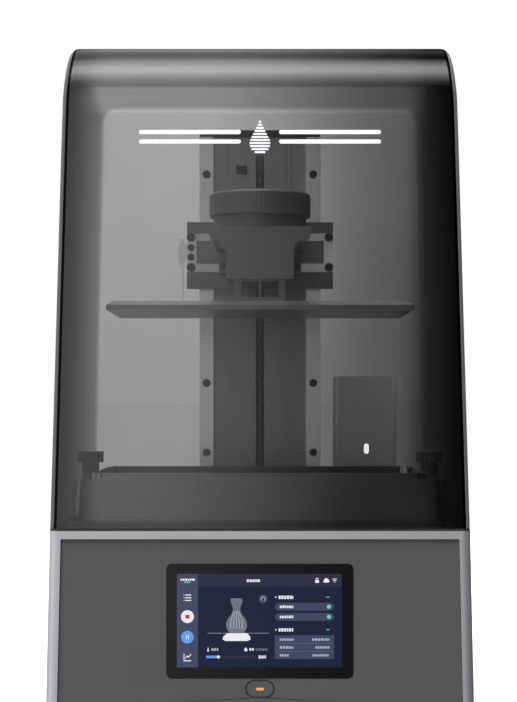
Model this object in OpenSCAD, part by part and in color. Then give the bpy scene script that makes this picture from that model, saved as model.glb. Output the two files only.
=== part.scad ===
// Large resin 3D printer: smoked hood, drafted base with a touch display,
// cantilevered build plate on a twin-rail Z axis, film vat and masking screen.
// Front faces -Y, +Z is up, the origin is the middle of the footprint on the table.

/* [Body] */
// Width of the base where it is widest, at its bottom edge
body_w = 400; // [380:1:440]
// Overall depth, from the front frame to the rear fittings
body_d = 430; // [420:1:460]
// Overall height with the hood on
body_h = 648; // [640:1:680]
// Height of the joint between the base and the hood
seam_z = 184; // [184:1:186]
// Inward lean of each side, in mm for each mm of height
draft = 0.0219; // [0:0.001:0.03]
// Backward lean of the hood's front, in mm for each mm of height
hood_lean = 0.06; // [0:0.005:0.08]
// Radius of the upright corners
corner_r = 8; // [6:1:12]
// Radius of the hood's front top edge
hood_top_r = 60; // [40:1:70]
// Radius of the hood's rear top corners
hood_rear_r = 18; // [8:1:24]
// How much each side draws in over the hood's curved top, per mm of height
hood_draw = 0.07; // [0:0.01:0.1]
// Wall of the smoked hood
hood_wall = 3; // [2:0.5:4]
// Height of the rubber feet
foot_h = 10; // [8:1:14]

/* [Front panel] */
// Width of the black glass over the display
glass_w = 173.5; // [160:0.5:180]
// Height of the black glass
glass_h = 106.3; // [98:0.1:110]
// Height of the middle of the display
display_z = 100.2; // [96:0.2:104]
// Height of the middle of the power button
button_z = 37.2; // [34:0.2:39]
// Width of the pill-shaped button opening
button_w = 27.3; // [20:0.1:32]
// Height of the pill-shaped button opening
button_h = 17; // [12:0.5:18]

/* [Vat and screen] */
// Y of the middle of the masking screen, the vat and the build plate
work_y = -64; // [-66:1:-62]
// Outer width of the vat
vat_w = 365; // [362:1:368]
// Outer depth of the vat
vat_d = 200; // [198:1:200]
// Width of the space inside the vat
vat_in_w = 320; // [316:1:322]
// Depth of the space inside the vat
vat_in_d = 184; // [182:1:186]
// Height of the vat's top rim
vat_top = 235.5; // [230:0.5:236]
// X of each thumb screw
thumb_x = 172; // [171:0.5:173]

/* [Z axis] */
// Width of the column
column_w = 132; // [128:1:136]
// Y of the column's front face
column_y = 68; // [66:1:72]
// Depth of the column
column_d = 68; // [60:1:72]
// Height of the column's top
column_top = 601; // [596:1:606]
// X of each guide rail's middle
rail_x = 58; // [56:0.5:60]
// Diameter of the lead screw
screw_d = 12; // [10:1:14]
// Distance between guide rail screws
rail_pitch = 75.6; // [70:0.1:78]

/* [Build plate] */
// Width of the build plate
plate_w = 298; // [290:1:304]
// Depth of the build plate
plate_d = 172; // [164:1:174]
// Height of the plate's underside at rest
plate_z = 393.3; // [380:0.1:400]

/* [Hidden] */
$fn = 48;
front_y = -body_d / 2;
rear_y = body_d / 2 - 3;
shell_t = 3;
front_wall = 3;
panel_gap = 0.25;
frame_w = 7.5;
deck_t = 3;
seal_h = 2.2;
panel_y = front_y + 1.7;
screen_top = seam_z + 5;
film_t = 0.15;
rail_w = 15;
rail_t = 10;
rail_y = column_y - rail_t;
rail_bottom = seam_z + 2;
rail_top = column_top - 9;
first_rail_screw = 249.1;
rail_screws_each = 5;
screw_y = column_y + 32;
block_y = 47;
carriage_y = 40;
carriage_z0 = 426;
carriage_z1 = 498;
arm_z0 = 464;
arm_z1 = 478;
face_y = work_y - 46;
face_t = 6;
tongue_h = 7.5;
knob_r = 51.3;
knob_z0 = 491;
knob_z1 = 515;
purifier_x = 82;
purifier_y = 60;
purifier_w = 66.5;
purifier_d = 66;
purifier_h = 148;
fan_x = -110;
fan_z = 98;
inlet_x = 120;
inlet_z = 52;
switch_z = 92;
root_y = 22;
root_screw_x = 39.5;
root_screw_z = 448.5;
block_screw_x = 74.3;
block_screws = [449.4, 481.7];
flag_screws = [460.2, 470.4];
usb_y = -140;
usb_z = 96;

// Half of the body's width at height z
function half_w(z) = body_w / 2 - draft * (z - foot_h);

// A rectangle with round corners, centred, in the XY plane
module round_rect(w, d, r) {
    square([w - 2 * r, d], center = true);
    square([w, d - 2 * r], center = true);
    for (x = [-1, 1], y = [-1, 1])
        translate([x * (w / 2 - r), y * (d / 2 - r)])
            circle(r);
}

// A plate with round corners, standing on z = 0
module round_plate(w, d, h, r) {
    linear_extrude(h)
        round_rect(w, d, r);
}

// A plate with round corners that faces the front, its front face at y = 0
module front_plate(w, h, t, r) {
    rotate([-90, 0, 0])
        linear_extrude(t)
            round_rect(w, h, r);
}

// A box centred in x and y
module block(size, z = 0) {
    translate([-size[0] / 2, -size[1] / 2, z])
        cube(size);
}

// A tube along z
module tube(outer_r, inner_r, h) {
    difference() {
        cylinder(r = outer_r, h = h);
        translate([0, 0, -1])
            cylinder(r = inner_r, h = h + 2);
    }
}

// A socket-head cap screw with its head's top at z = 0 and its shank below
module cap_screw(head_r, head_h, shank_r, length) {
    translate([0, 0, -head_h])
        difference() {
            cylinder(r = head_r, h = head_h);
            translate([0, 0, head_h * 0.45])
                cylinder(r = head_r * 0.52, h = head_h, $fn = 6);
        }
    translate([0, 0, -head_h - length])
        cylinder(r = shank_r, h = length + 0.01);
}

// The body's outline between two heights, drawn in by inset on the sides, front and rear
module drafted_box(z0, z1, inset) {
    r = max(corner_r - inset, 1);
    hull()
        for (z = [z0, z1], x = [-1, 1], y = [front_y + inset + r, rear_y - inset - r])
            translate([x * (half_w(z) - inset - r), y, z])
                cylinder(r = r, h = 0.01, $fn = 32);
}

// The front opening's outline, grown by grow on every side
module front_opening(grow) {
    z0 = foot_h + frame_w - grow;
    z1 = seam_z - frame_w + grow;
    edge = frame_w + corner_r * 0.45 - grow;
    rotate([90, 0, 0])
        linear_extrude(30, center = true)
            polygon([
                [half_w(z0) - edge, z0], [half_w(z1) - edge, z1],
                [-half_w(z1) + edge, z1], [-half_w(z0) + edge, z0]
            ]);
}

module base_shell() {
    color([0.66, 0.67, 0.68])
        difference() {
            drafted_box(foot_h, seam_z, 0);
            drafted_box(foot_h - 5, seam_z + 5, shell_t);
            translate([0, front_y, 0])
                front_opening(0);
            // cooling slots in both sides
            for (i = [0:9])
                translate([0, 40 + i * 12, 100])
                    cube([body_w + 20, 5, 90], center = true);
            // rear openings for the fan, the inlet and its switch
            translate([fan_x, rear_y, fan_z])
                rotate([90, 0, 0])
                    cylinder(r = 37, h = 20, center = true, $fn = 96);
            translate([inlet_x, rear_y, inlet_z])
                cube([29, 20, 22], center = true);
            translate([inlet_x, rear_y, switch_z])
                cube([15, 20, 21], center = true);
            // opening for the data port in the right side
            translate([half_w(usb_z), usb_y, usb_z])
                cube([20, 14.4, 7.2], center = true);
        }
}

module front_panel() {
    color([0.33, 0.33, 0.34])
        difference() {
            union() {
                intersection() {
                    translate([0, front_y, 0])
                        front_opening(-panel_gap);
                    translate([-body_w / 2, panel_y, 0])
                        cube([body_w, front_y + front_wall - panel_y, seam_z]);
                }
                intersection() {
                    translate([0, front_y, 0])
                        front_opening(3);
                    translate([-body_w / 2, front_y + front_wall, 0])
                        cube([body_w, 2, seam_z]);
                }
            }
            translate([0, front_y - 1, display_z])
                front_plate(glass_w + 0.4, glass_h + 0.4, 4, 5.2);
            translate([0, front_y - 1, display_z])
                front_plate(glass_w - 8, glass_h - 8, 10, 3);
            translate([0, front_y - 1, button_z])
                front_plate(button_w + 0.2, button_h + 0.2, 10, (button_h + 0.2) / 2 - 0.01);
        }
}

module bottom_plate() {
    color([0.35, 0.36, 0.37])
        difference() {
            translate([0, (front_y + rear_y) / 2, foot_h])
                round_plate(2 * (half_w(foot_h + 2) - shell_t - 0.3), rear_y - front_y - 2 * shell_t - 0.6, 2, 5);
            // air slots under the light engine's fan
            for (i = [-4:4])
                translate([i * 10, work_y, foot_h])
                    cube([5, 80 - abs(i) * 8, 10], center = true);
            for (x = [-1, 1], y = [-170, 0, 170])
                translate([x * 178, y, foot_h - 1])
                    cylinder(r = 1.6, h = 10);
            for (x = [-1, 1], y = [-182, 180])
                translate([x * 160, y, foot_h - 1])
                    cylinder(r = 4.05, h = 10);
        }
}

module rubber_feet() {
    color([0.08, 0.08, 0.08])
        for (x = [-1, 1], y = [-182, 180])
            translate([x * 160, y, 0]) {
                rotate_extrude()
                    polygon([[0, 1.5], [10, 1.5], [10, 0], [15, 0], [17, foot_h], [0, foot_h]]);
                cylinder(r = 4, h = foot_h + 4);
            }
}

module case_screws() {
    color([0.2, 0.2, 0.2])
        for (x = [-1, 1], y = [-170, 0, 170])
            translate([x * 178, y, foot_h - 1.6])
                mirror([0, 0, 1])
                    cap_screw(3, 1.6, 1.5, 8);
}

// Deck under the vat: a middle plate with holes for the light and the Z motor, and a pair
// of bars at each side with a gap between them for a thumb screw's end
module deck_plate() {
    bar_x = 163;
    color([0.1, 0.1, 0.11])
        difference() {
            translate([0, (front_y + rear_y) / 2, seam_z - deck_t])
                round_plate(2 * (half_w(seam_z) - shell_t - 0.3), rear_y - front_y - 2 * shell_t - 0.6,
                    deck_t, 5);
            translate([0, work_y, seam_z - 5])
                round_plate(310, 174, 10, 3);
            for (x = [-1, 1]) {
                translate([x * bar_x, 0, seam_z])
                    cube([0.3, body_d, 10], center = true);
                translate([x * (bar_x + 20), work_y, seam_z])
                    cube([40, 7.2, 10], center = true);
            }
            translate([0, screw_y, seam_z - 5])
                cylinder(r = 13, h = 10);
            for (x = [-1, 1], y = [-1, 1])
                translate([x * 15.5, screw_y + y * 15.5, seam_z - 5])
                    cylinder(r = 1.6, h = 10);
        }
}

module display_glass() {
    color([0.01, 0.01, 0.012])
        translate([0, panel_y - 0.2, display_z])
            front_plate(glass_w, glass_h, 1.5, 5);
}

module display_module() {
    color([0.08, 0.1, 0.25])
        translate([0, panel_y + 1.3, display_z]) {
            front_plate(163, 96, 4.5, 2);
            translate([-40, 4.5, -34])
                cube([80, 5, 60]);
        }
}

module button_ring() {
    color([0.02, 0.02, 0.02])
        translate([0, panel_y - 0.1, button_z])
            difference() {
                front_plate(button_w, button_h, 6, button_h / 2 - 0.01);
                translate([0, -1, 0])
                    front_plate(button_w - 2.4, button_h - 2.4, 10, (button_h - 2.4) / 2 - 0.01);
            }
}

module power_button() {
    color([0.3, 0.3, 0.31])
        translate([0, panel_y - 0.4, button_z])
            difference() {
                union() {
                    front_plate(button_w - 3, button_h - 3, 5, (button_h - 3) / 2 - 0.01);
                    rotate([-90, 0, 0])
                        cylinder(r = 3, h = 9);
                }
                translate([0, -1, 0])
                    front_plate(7.4, 2.5, 2.2, 1.24);
            }
}

module button_light() {
    color([1, 0.45, 0.1])
        translate([0, panel_y - 0.35, button_z])
            front_plate(7.4, 2.5, 1.15, 1.24);
}

module button_switch() {
    color([0.05, 0.25, 0.12])
        translate([0, panel_y + 10.4, button_z]) {
            translate([-4, 0, -4])
                cube([8, 3, 8]);
            translate([-18, 3, -9])
                cube([36, 1.6, 18]);
        }
}

module screen_frame() {
    color([0.05, 0.05, 0.05])
        translate([0, work_y, seam_z])
            difference() {
                round_plate(316, 180, screen_top - seam_z, 4);
                block([308.2, 172.2, 10], 2);
                translate([0, 0, -1])
                    round_plate(300, 164, 10, 1);
            }
}

module masking_screen() {
    color([0.02, 0.02, 0.05])
        translate([0, work_y, seam_z + 2])
            block([308, 172, screen_top - seam_z - 2]);
}

module fresnel_lens() {
    color([0.8, 0.9, 0.95])
        translate([0, work_y, 160])
            difference() {
                block([300, 164, 4]);
                for (r = [15:15:75])
                    translate([0, 0, 3.4])
                        tube(r + 1, r - 1, 2);
            }
}

module light_reflector() {
    color([0.75, 0.75, 0.77])
        translate([0, work_y, 74.2])
            difference() {
                block([306, 170, 103]);
                block([302, 166, 120], -1);
            }
}

module led_board() {
    color([0.85, 0.85, 0.8])
        translate([0, work_y, 70]) {
            block([296, 160, 1.8]);
            for (x = [-4:4], y = [-2:2])
                translate([x * 32, y * 32, 1.8])
                    cylinder(r = 3.5, h = 1.6, $fn = 24);
        }
}

module heat_sink() {
    color([0.6, 0.61, 0.62])
        translate([0, work_y, 44]) {
            block([280, 150, 5], 21);
            for (i = [-16:16])
                translate([i * 8, 0, 0])
                    block([1.6, 150, 21.01]);
        }
}

// A square fan frame with its axis along z, standing on z = 0
module fan_frame(side, thick, hub_r) {
    difference() {
        round_plate(side, side, thick, 4);
        translate([0, 0, -1])
            cylinder(r = side / 2 - 3, h = thick + 2, $fn = 96);
        for (x = [-1, 1], y = [-1, 1])
            translate([x * (side / 2 - 4.2), y * (side / 2 - 4.2), -1])
                cylinder(r = 2.1, h = thick + 2);
    }
    cylinder(r = hub_r, h = 3);
    for (a = [45:90:315])
        rotate(a)
            translate([hub_r - 1, -1.5, 0])
                cube([side / 2 - hub_r, 3, 3]);
    cylinder(r = 2, h = thick - 5);
}

// The rotor of such a fan: a hub cup and flat blades set at an angle
module fan_rotor(side, thick, hub_r, blades) {
    difference() {
        translate([0, 0, 4])
            cylinder(r = hub_r, h = thick - 6);
        translate([0, 0, 3])
            cylinder(r = 2.05, h = thick - 7.5);
    }
    for (i = [0:blades - 1])
        rotate(i * 360 / blades)
            translate([hub_r - 1, 0, thick / 2 + 1])
                rotate([38, 0, 0])
                    translate([0, -8, -0.6])
                        cube([side / 2 - 5 - hub_r, 16, 1.2]);
}

module light_fan_frame() {
    color([0.06, 0.06, 0.06])
        translate([0, work_y, 14])
            fan_frame(92, 25, 16);
}

module light_fan_rotor() {
    color([0.12, 0.12, 0.12])
        translate([0, work_y, 14])
            fan_rotor(92, 25, 16, 7);
}

// Moves a fan's shapes to the rear wall, blowing backwards
module at_rear_fan() {
    translate([fan_x, rear_y - shell_t, fan_z])
        rotate([90, 0, 0])
            children();
}

module rear_fan_frame() {
    color([0.06, 0.06, 0.06])
        at_rear_fan()
            fan_frame(80, 25, 15);
}

module rear_fan_rotor() {
    color([0.12, 0.12, 0.12])
        at_rear_fan()
            fan_rotor(80, 25, 15, 7);
}

module vent_grille() {
    color([0.12, 0.12, 0.12])
        translate([fan_x, rear_y + 2, fan_z])
            rotate([90, 0, 0])
                difference() {
                    union() {
                        difference() {
                            cylinder(r = 42, h = 2, $fn = 96);
                            translate([0, 0, -1])
                                cylinder(r = 36, h = 4, $fn = 96);
                        }
                        for (r = [9:9:27])
                            tube(r + 1, r - 1, 2);
                        for (a = [0:45:135])
                            rotate(a)
                                translate([-37, -1, 0])
                                    cube([74, 2, 2]);
                    }
                    for (a = [22.5:90:300])
                        rotate(a)
                            translate([39, 0, -1])
                                cylinder(r = 1.6, h = 4);
                }
}

module main_board() {
    color([0.05, 0.22, 0.12])
        translate([-180, 20, 20]) {
            cube([120, 150, 1.6]);
            for (x = [8, 112], y = [8, 142])
                translate([x, y, -8])
                    cylinder(r = 3, h = 8.01);
        }
    color([0.1, 0.1, 0.1])
        translate([-180, 20, 21.6]) {
            translate([30, 60, 0])
                cube([28, 28, 2.2]);
            translate([70, 20, 0])
                cube([14, 20, 2]);
            for (i = [0:5])
                translate([14 + i * 16, 132, 0])
                    cube([12, 8, 9]);
            for (i = [0:2])
                translate([85 + i * 11, 75, 0])
                    cylinder(r = 4, h = 12);
        }
}

module power_supply() {
    color([0.7, 0.71, 0.72])
        translate([70, 30, 14])
            difference() {
                cube([98, 150, 42]);
                translate([2, 2, 2])
                    cube([94, 146, 38]);
                for (i = [0:11])
                    translate([10, 12 + i * 11, 35])
                        cube([78, 5, 20]);
            }
    color([0.3, 0.3, 0.3])
        translate([80, 60, 16])
            cube([40, 60, 22]);
}

module power_inlet() {
    color([0.05, 0.05, 0.05])
        translate([inlet_x, rear_y, 0]) {
            difference() {
                union() {
                    translate([0, 1.5, inlet_z])
                        cube([36, 3, 27], center = true);
                    translate([0, -11, inlet_z])
                        cube([28, 22.02, 21], center = true);
                }
                translate([0, -6, inlet_z])
                    cube([23.5, 22, 16.5], center = true);
            }
            for (x = [-7, 0, 7])
                translate([x, -12, inlet_z + (x == 0 ? -3 : 2)])
                    cube([2, 12, 5], center = true);
            difference() {
                translate([0, 1.2, switch_z])
                    cube([20, 2.4, 26], center = true);
                translate([0, 0, switch_z])
                    cube([13, 20, 19], center = true);
            }
            difference() {
                translate([0, -8, switch_z])
                    cube([14.6, 16.02, 20.6], center = true);
                translate([0, -3, switch_z])
                    cube([13, 20, 19], center = true);
                // sockets of the rocker's pivot
                translate([0, -3, switch_z])
                    rotate([0, 90, 0])
                        cylinder(r = 1.55, h = 30, center = true);
            }
        }
}

module rocker_switch() {
    color([0.03, 0.03, 0.03])
        translate([inlet_x, rear_y - 3, switch_z])
            rotate([90, 0, 90])
            {
                linear_extrude(12, center = true)
                    polygon([[-5, -6], [2.5, -7.8], [5.2, -7.9], [3.4, 0], [2.6, 7.9], [-0.5, 7.8], [-5, 6]]);
                // pivot pin
                cylinder(r = 1.5, h = 14, center = true);
            }
}

module usb_port() {
    color([0.6, 0.6, 0.62])
        translate([half_w(usb_z) - 17.5, usb_y - 7, usb_z - 3.4])
            difference() {
                cube([17, 14, 6.8]);
                translate([4, 0.6, 0.6])
                    cube([20, 12.8, 5.6]);
            }
    color([0.95, 0.95, 0.95])
        translate([half_w(usb_z) - 15, usb_y - 6, usb_z - 1.3])
            cube([12, 12, 1.8]);
}

module column_body() {
    color([0.16, 0.16, 0.17])
        translate([0, column_y, seam_z])
            linear_extrude(column_top - 8 - seam_z)
                difference() {
                    translate([-column_w / 2, 0])
                        square([column_w, column_d]);
                    // hollow for the lead screw and the slot its nut runs in
                    translate([-24, 6])
                        square([48, column_d - 14]);
                    translate([-4.5, -1])
                        square([9, 10]);
                    // side hollows
                    for (x = [-1, 1]) {
                        translate([x * 44 - 16, 14])
                            square([32, column_d - 22]);
                        for (g = [29, 34.5])
                            translate([x * g - 1, -1])
                                square([2, 2.6]);
                        translate([x * column_w / 2 - 2, 25])
                            square([4, 10]);
                    }
                }
}

module column_cap() {
    color([0.06, 0.06, 0.06])
        translate([0, column_y, column_top - 8])
            intersection() {
                translate([-column_w / 2, -1, 0])
                    cube([column_w, column_d + 1, 8]);
                translate([0, column_d + 2, -12])
                    rotate([90, 0, 0])
                        linear_extrude(column_d + 10)
                            translate([0, 10])
                                round_rect(column_w, 20, 6);
            }
}

module guide_rails() {
    color([0.72, 0.73, 0.75])
        for (x = [-1, 1])
            translate([x * rail_x, rail_y, rail_bottom])
                difference() {
                    translate([-rail_w / 2, 0, 0])
                        cube([rail_w, rail_t, rail_top - rail_bottom]);
                    // ball grooves
                    for (s = [-1, 1])
                        translate([s * rail_w / 2, 4.5, -1])
                            cylinder(r = 1.2, h = rail_top, $fn = 24);
                    for (i = [0:rail_screws_each - 1])
                        translate([0, 0, first_rail_screw - rail_bottom + i * rail_pitch])
                            rotate([-90, 0, 0]) {
                                translate([0, 0, -1])
                                    cylinder(r = 4.8, h = 5.5);
                                cylinder(r = 2.3, h = 20);
                            }
                }
}

module rail_screws() {
    color([0.1, 0.1, 0.1])
        for (x = [-1, 1], i = [0:rail_screws_each - 1])
            translate([x * rail_x, rail_y + 0.5, first_rail_screw + i * rail_pitch])
                rotate([90, 0, 0])
                    cap_screw(4.2, 4, 2.2, 5.5);
}

module lead_screw() {
    color([0.75, 0.76, 0.78])
        translate([0, screw_y, 0]) {
            translate([0, 0, 206])
                cylinder(r = screw_d / 2, h = 372);
            translate([0, 0, 196])
                cylinder(r = 4, h = 396);
        }
}

module shaft_coupler() {
    color([0.6, 0.61, 0.63])
        translate([0, screw_y, 186])
            difference() {
                cylinder(r = 11, h = 19.8);
                translate([0, 0, 10])
                    cylinder(r = 4.02, h = 20);
                translate([0, 0, -1])
                    cylinder(r = 2.5, h = 12);
                for (z = [6, 13])
                    translate([-12, 0, z])
                        cube([24, 12, 1]);
            }
}

module z_motor() {
    color([0.12, 0.12, 0.12])
        translate([0, screw_y, seam_z - deck_t]) {
            difference() {
                translate([0, 0, -48])
                    round_plate(42, 42, 48, 4);
                for (x = [-1, 1], y = [-1, 1])
                    translate([x * 15.5, y * 15.5, -8])
                        cylinder(r = 1.5, h = 10);
            }
            cylinder(r = 11, h = 2);
            cylinder(r = 2.45, h = 14);
        }
}

module top_bearing() {
    color([0.7, 0.71, 0.73])
        translate([0, screw_y, 580])
            difference() {
                block([47.6, 40, 13]);
                translate([0, 0, -1])
                    cylinder(r = 4.05, h = 20);
            }
}

module limit_sensor() {
    color([0.04, 0.04, 0.04])
        translate([-26, column_y - 5, 553])
            difference() {
                cube([12, 5, 9]);
                translate([4, -1, -1])
                    cube([4, 3.5, 12]);
            }
}

// Two blocks, each with a channel that wraps its rail
module bearing_blocks() {
    color([0.78, 0.79, 0.8])
        for (x = [-1, 1])
            translate([x * rail_x, block_y, 436])
                difference() {
                    translate([-21, 0, 0])
                        cube([42, 19, 56]);
                    translate([-rail_w / 2 - 0.4, rail_y - block_y - 0.4, -1])
                        cube([rail_w + 0.8, 20, 60]);
                    for (s = [-1, 1], z = block_screws)
                        translate([s * (block_screw_x - rail_x), -1, z - 436])
                            rotate([-90, 0, 0])
                                cylinder(r = 1.9, h = 8);
                    // the left block also takes the sensor bracket's screws
                    if (x < 0)
                        for (z = flag_screws)
                            translate([rail_x - block_screw_x, -1, z - 436])
                                rotate([-90, 0, 0])
                                    cylinder(r = 1.9, h = 8);
                }
}

module carriage_plate() {
    notch_z0 = 444;
    notch_z1 = 486;
    color([0.2, 0.2, 0.21])
        difference() {
            union() {
                difference() {
                    translate([-78.6, carriage_y, carriage_z0])
                        cube([157.2, block_y - carriage_y, carriage_z1 - carriage_z0]);
                    for (x = [-1, 1])
                        translate([x * 62, carriage_y - 1, notch_z0])
                            translate([-18, 0, 0])
                                cube([36, 10, notch_z1 - notch_z0]);
                }
                // round bosses that carry the block screws
                for (x = [-1, 1], z = block_screws)
                    translate([x * block_screw_x, carriage_y, z])
                        rotate([-90, 0, 0])
                            cylinder(r = 4.8, h = block_y - carriage_y);
            }
            for (x = [-1, 1], z = block_screws)
                translate([x * block_screw_x, carriage_y - 1, z])
                    rotate([-90, 0, 0])
                        cylinder(r = 2.1, h = 20);
            for (x = [-1, 1])
                translate([x * root_screw_x, carriage_y - 1, root_screw_z])
                    rotate([-90, 0, 0])
                        cylinder(r = 2.1, h = 20);
            // trims the bosses to the plate's outer edges
            for (x = [-1, 1])
                translate([x * (81.2 + 5), carriage_y + 3, 465])
                    cube([10, 20, 80], center = true);
        }
}

module carriage_screws() {
    color([0.12, 0.12, 0.12]) {
        for (x = [-1, 1], z = block_screws)
            translate([x * block_screw_x, carriage_y - 3.2, z])
                rotate([90, 0, 0])
                    cap_screw(3.8, 3.2, 1.85, 13);
        for (z = flag_screws)
            translate([-block_screw_x, block_y - 6.2, z])
                rotate([90, 0, 0])
                    cap_screw(3.8, 3, 1.85, 9);
        // screws that hold the arm's root
        for (x = [-1, 1])
            translate([x * root_screw_x, root_y - 3.2, root_screw_z])
                rotate([90, 0, 0])
                    cap_screw(3.4, 3.2, 2, 24);
    }
}

// Nut inside the column, joined to the carriage by a web through the slot
module drive_nut() {
    color([0.72, 0.6, 0.35])
        translate([0, screw_y, 440])
            difference() {
                union() {
                    cylinder(r = 14, h = 30);
                    translate([-3.5, block_y - screw_y, 0])
                        cube([7, screw_y - block_y, 30]);
                }
                translate([0, 0, -1])
                    cylinder(r = screw_d / 2 + 0.05, h = 40);
            }
}

// Cast arm: a root on the carriage, a slab under the knob and a sloping web between
module support_arm() {
    slab_y = face_y + face_t + 0.3;
    root_z = carriage_z0 + 15;
    color([0.22, 0.22, 0.23])
        difference() {
            union() {
                translate([-46, slab_y, arm_z0])
                    cube([92, carriage_y - slab_y, arm_z1 - arm_z0]);
                translate([-44, root_y, root_z])
                    cube([88, carriage_y - root_y, arm_z1 - root_z]);
                // lugs in front of the bearing blocks
                translate([-68, root_y, 452.7])
                    cube([136, carriage_y - root_y, 23.6]);
                rotate([90, 0, 90])
                    linear_extrude(56, center = true)
                        polygon([
                            [-20, arm_z0 + 0.01], [root_y + 1, arm_z0 + 0.01],
                            [root_y + 1, root_z], [root_y - 4, root_z]
                        ]);
            }
            // dovetail groove for the bracket's tongue
            translate([0, -22, 0])
                rotate([90, 0, 0])
                    linear_extrude(90)
                        tongue(0.15);
            translate([0, work_y, arm_z0 - 1])
                cylinder(r = 5.08, h = 40);
            for (x = [-1, 1])
                translate([x * root_screw_x, root_y - 1, root_screw_z])
                    rotate([-90, 0, 0])
                        cylinder(r = 2.1, h = 30);
        }
}

// The dovetail between the arm and the bracket, grown by grow, seen from the front
module tongue(grow) {
    polygon([
        [-16 - grow, arm_z0 - 1], [-16 - grow, arm_z0], [-21 - grow, arm_z0 + tongue_h + grow],
        [21 + grow, arm_z0 + tongue_h + grow], [16 + grow, arm_z0], [16 + grow, arm_z0 - 1]
    ]);
}

// Plate on the left block with a thin wand that hangs from it
module sensor_flag() {
    flag_y = block_y - 3.1;
    color([0.7, 0.71, 0.72])
        difference() {
            union() {
                translate([-88, flag_y, 456.6])
                    cube([18.5, 3, 18]);
                translate([-86, flag_y, 450.5])
                    cube([4.4, 3, 29]);
                translate([-83.5, flag_y + 1.5, 410])
                    cylinder(r = 0.8, h = 41, $fn = 24);
                translate([-83.5, flag_y + 1.5, 407])
                    cylinder(r = 2.2, h = 4, $fn = 24);
            }
            for (z = flag_screws)
                translate([-block_screw_x, flag_y - 1, z])
                    rotate([-90, 0, 0])
                        cylinder(r = 2.1, h = 5);
        }
}

module locking_knob() {
    color([0.17, 0.17, 0.18])
        translate([0, work_y, 0])
            difference() {
                union() {
                    rotate_extrude($fn = 96)
                        polygon([
                            [0, knob_z0], [knob_r, knob_z0], [knob_r, knob_z1 - 2.5],
                            [knob_r - 2.5, knob_z1], [0, knob_z1]
                        ]);
                    translate([0, 0, arm_z1 + 0.3])
                        cylinder(r = 47, h = knob_z0 - arm_z1, $fn = 96);
                }
                translate([0, 0, arm_z1 - 1])
                    cylinder(r = 5, h = knob_z1 - arm_z1 - 6);
            }
}

module clamp_screw() {
    color([0.68, 0.69, 0.7])
        translate([0, work_y, arm_z0 + tongue_h + 0.5])
            cylinder(r = 5, h = knob_z1 - 7 - arm_z0 - tongue_h - 0.5);
}

// Plate with a bevelled top edge all round
module build_plate() {
    rim = 4.7;
    bevel = 4.2;
    color([0.3, 0.3, 0.31])
        translate([0, work_y, plate_z])
            difference() {
                union() {
                    round_plate(plate_w, plate_d, rim, 2);
                    intersection() {
                        translate([0, 0, rim])
                            block([plate_w - 0.2, plate_d - 0.2, bevel]);
                        // the bevelled roof, from a profile along each direction
                        rotate([90, 0, 0])
                            linear_extrude(plate_d, center = true)
                                polygon([
                                    [-plate_w / 2, rim], [plate_w / 2, rim],
                                    [plate_w / 2 - 8, rim + bevel], [-plate_w / 2 + 8, rim + bevel]
                                ]);
                        rotate([90, 0, 90])
                            linear_extrude(plate_w, center = true)
                                polygon([
                                    [-plate_d / 2, rim], [plate_d / 2, rim],
                                    [plate_d / 2 - 8, rim + bevel], [-plate_d / 2 + 8, rim + bevel]
                                ]);
                    }
                }
                for (x = [-1, 1], y = [-1, 1])
                    translate([x * 19, y * 28, -1])
                        translate([0, 0, 4])
                            cylinder(r = 2.1, h = 20);
            }
}

// Riser bolted to the plate: a neck with a window, a block, a T-shaped face and a
// dovetail tongue that slides in the arm
module plate_bracket() {
    top = plate_z + 8.9;
    block_z0 = carriage_z0;
    fillet_r = 8.5;
    half = 33.3;
    color([0.24, 0.24, 0.25])
        difference() {
            union() {
                translate([0, work_y, top])
                    block([50.5, 76, block_z0 - top + 0.01]);
                translate([-half, face_y, block_z0])
                    cube([2 * half, 86, arm_z0 - 0.3 - block_z0]);
                // flared shoulders and the face's top bar
                translate([-half - fillet_r, face_y, arm_z0 - fillet_r - 0.3])
                    cube([2 * (half + fillet_r), 86, fillet_r]);
                rotate([90, 0, 0])
                    translate([0, 0, -face_y - face_t])
                        linear_extrude(face_t)
                            polygon([
                                [-48.7, arm_z0 - 0.3], [48.7, arm_z0 - 0.3],
                                [52, arm_z1], [-52, arm_z1]
                            ]);
                translate([0, -24, 0])
                    rotate([90, 0, 0])
                        linear_extrude(80)
                            tongue(0);
            }
            for (x = [-1, 1])
                translate([x * (half + fillet_r), face_y - 1, arm_z0 - 0.3 - fillet_r])
                    rotate([-90, 0, 0])
                        cylinder(r = fillet_r, h = 100);
            // window through the neck, parted by a rib
            for (x = [-1, 1])
                translate([x * 9.8, work_y, top + 14])
                    cube([17.5, 200, 15.6], center = true);
            for (x = [-1, 1], y = [-1, 1])
                translate([x * 19, work_y + y * 28, top - 1])
                    cylinder(r = 2.1, h = 6);
        }
}

module plate_screws() {
    color([0.15, 0.15, 0.15])
        for (x = [-1, 1], y = [-1, 1])
            translate([x * 19, work_y + y * 28, plate_z + 3.2])
                cylinder(r = 2, h = 10.5);
}

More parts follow.
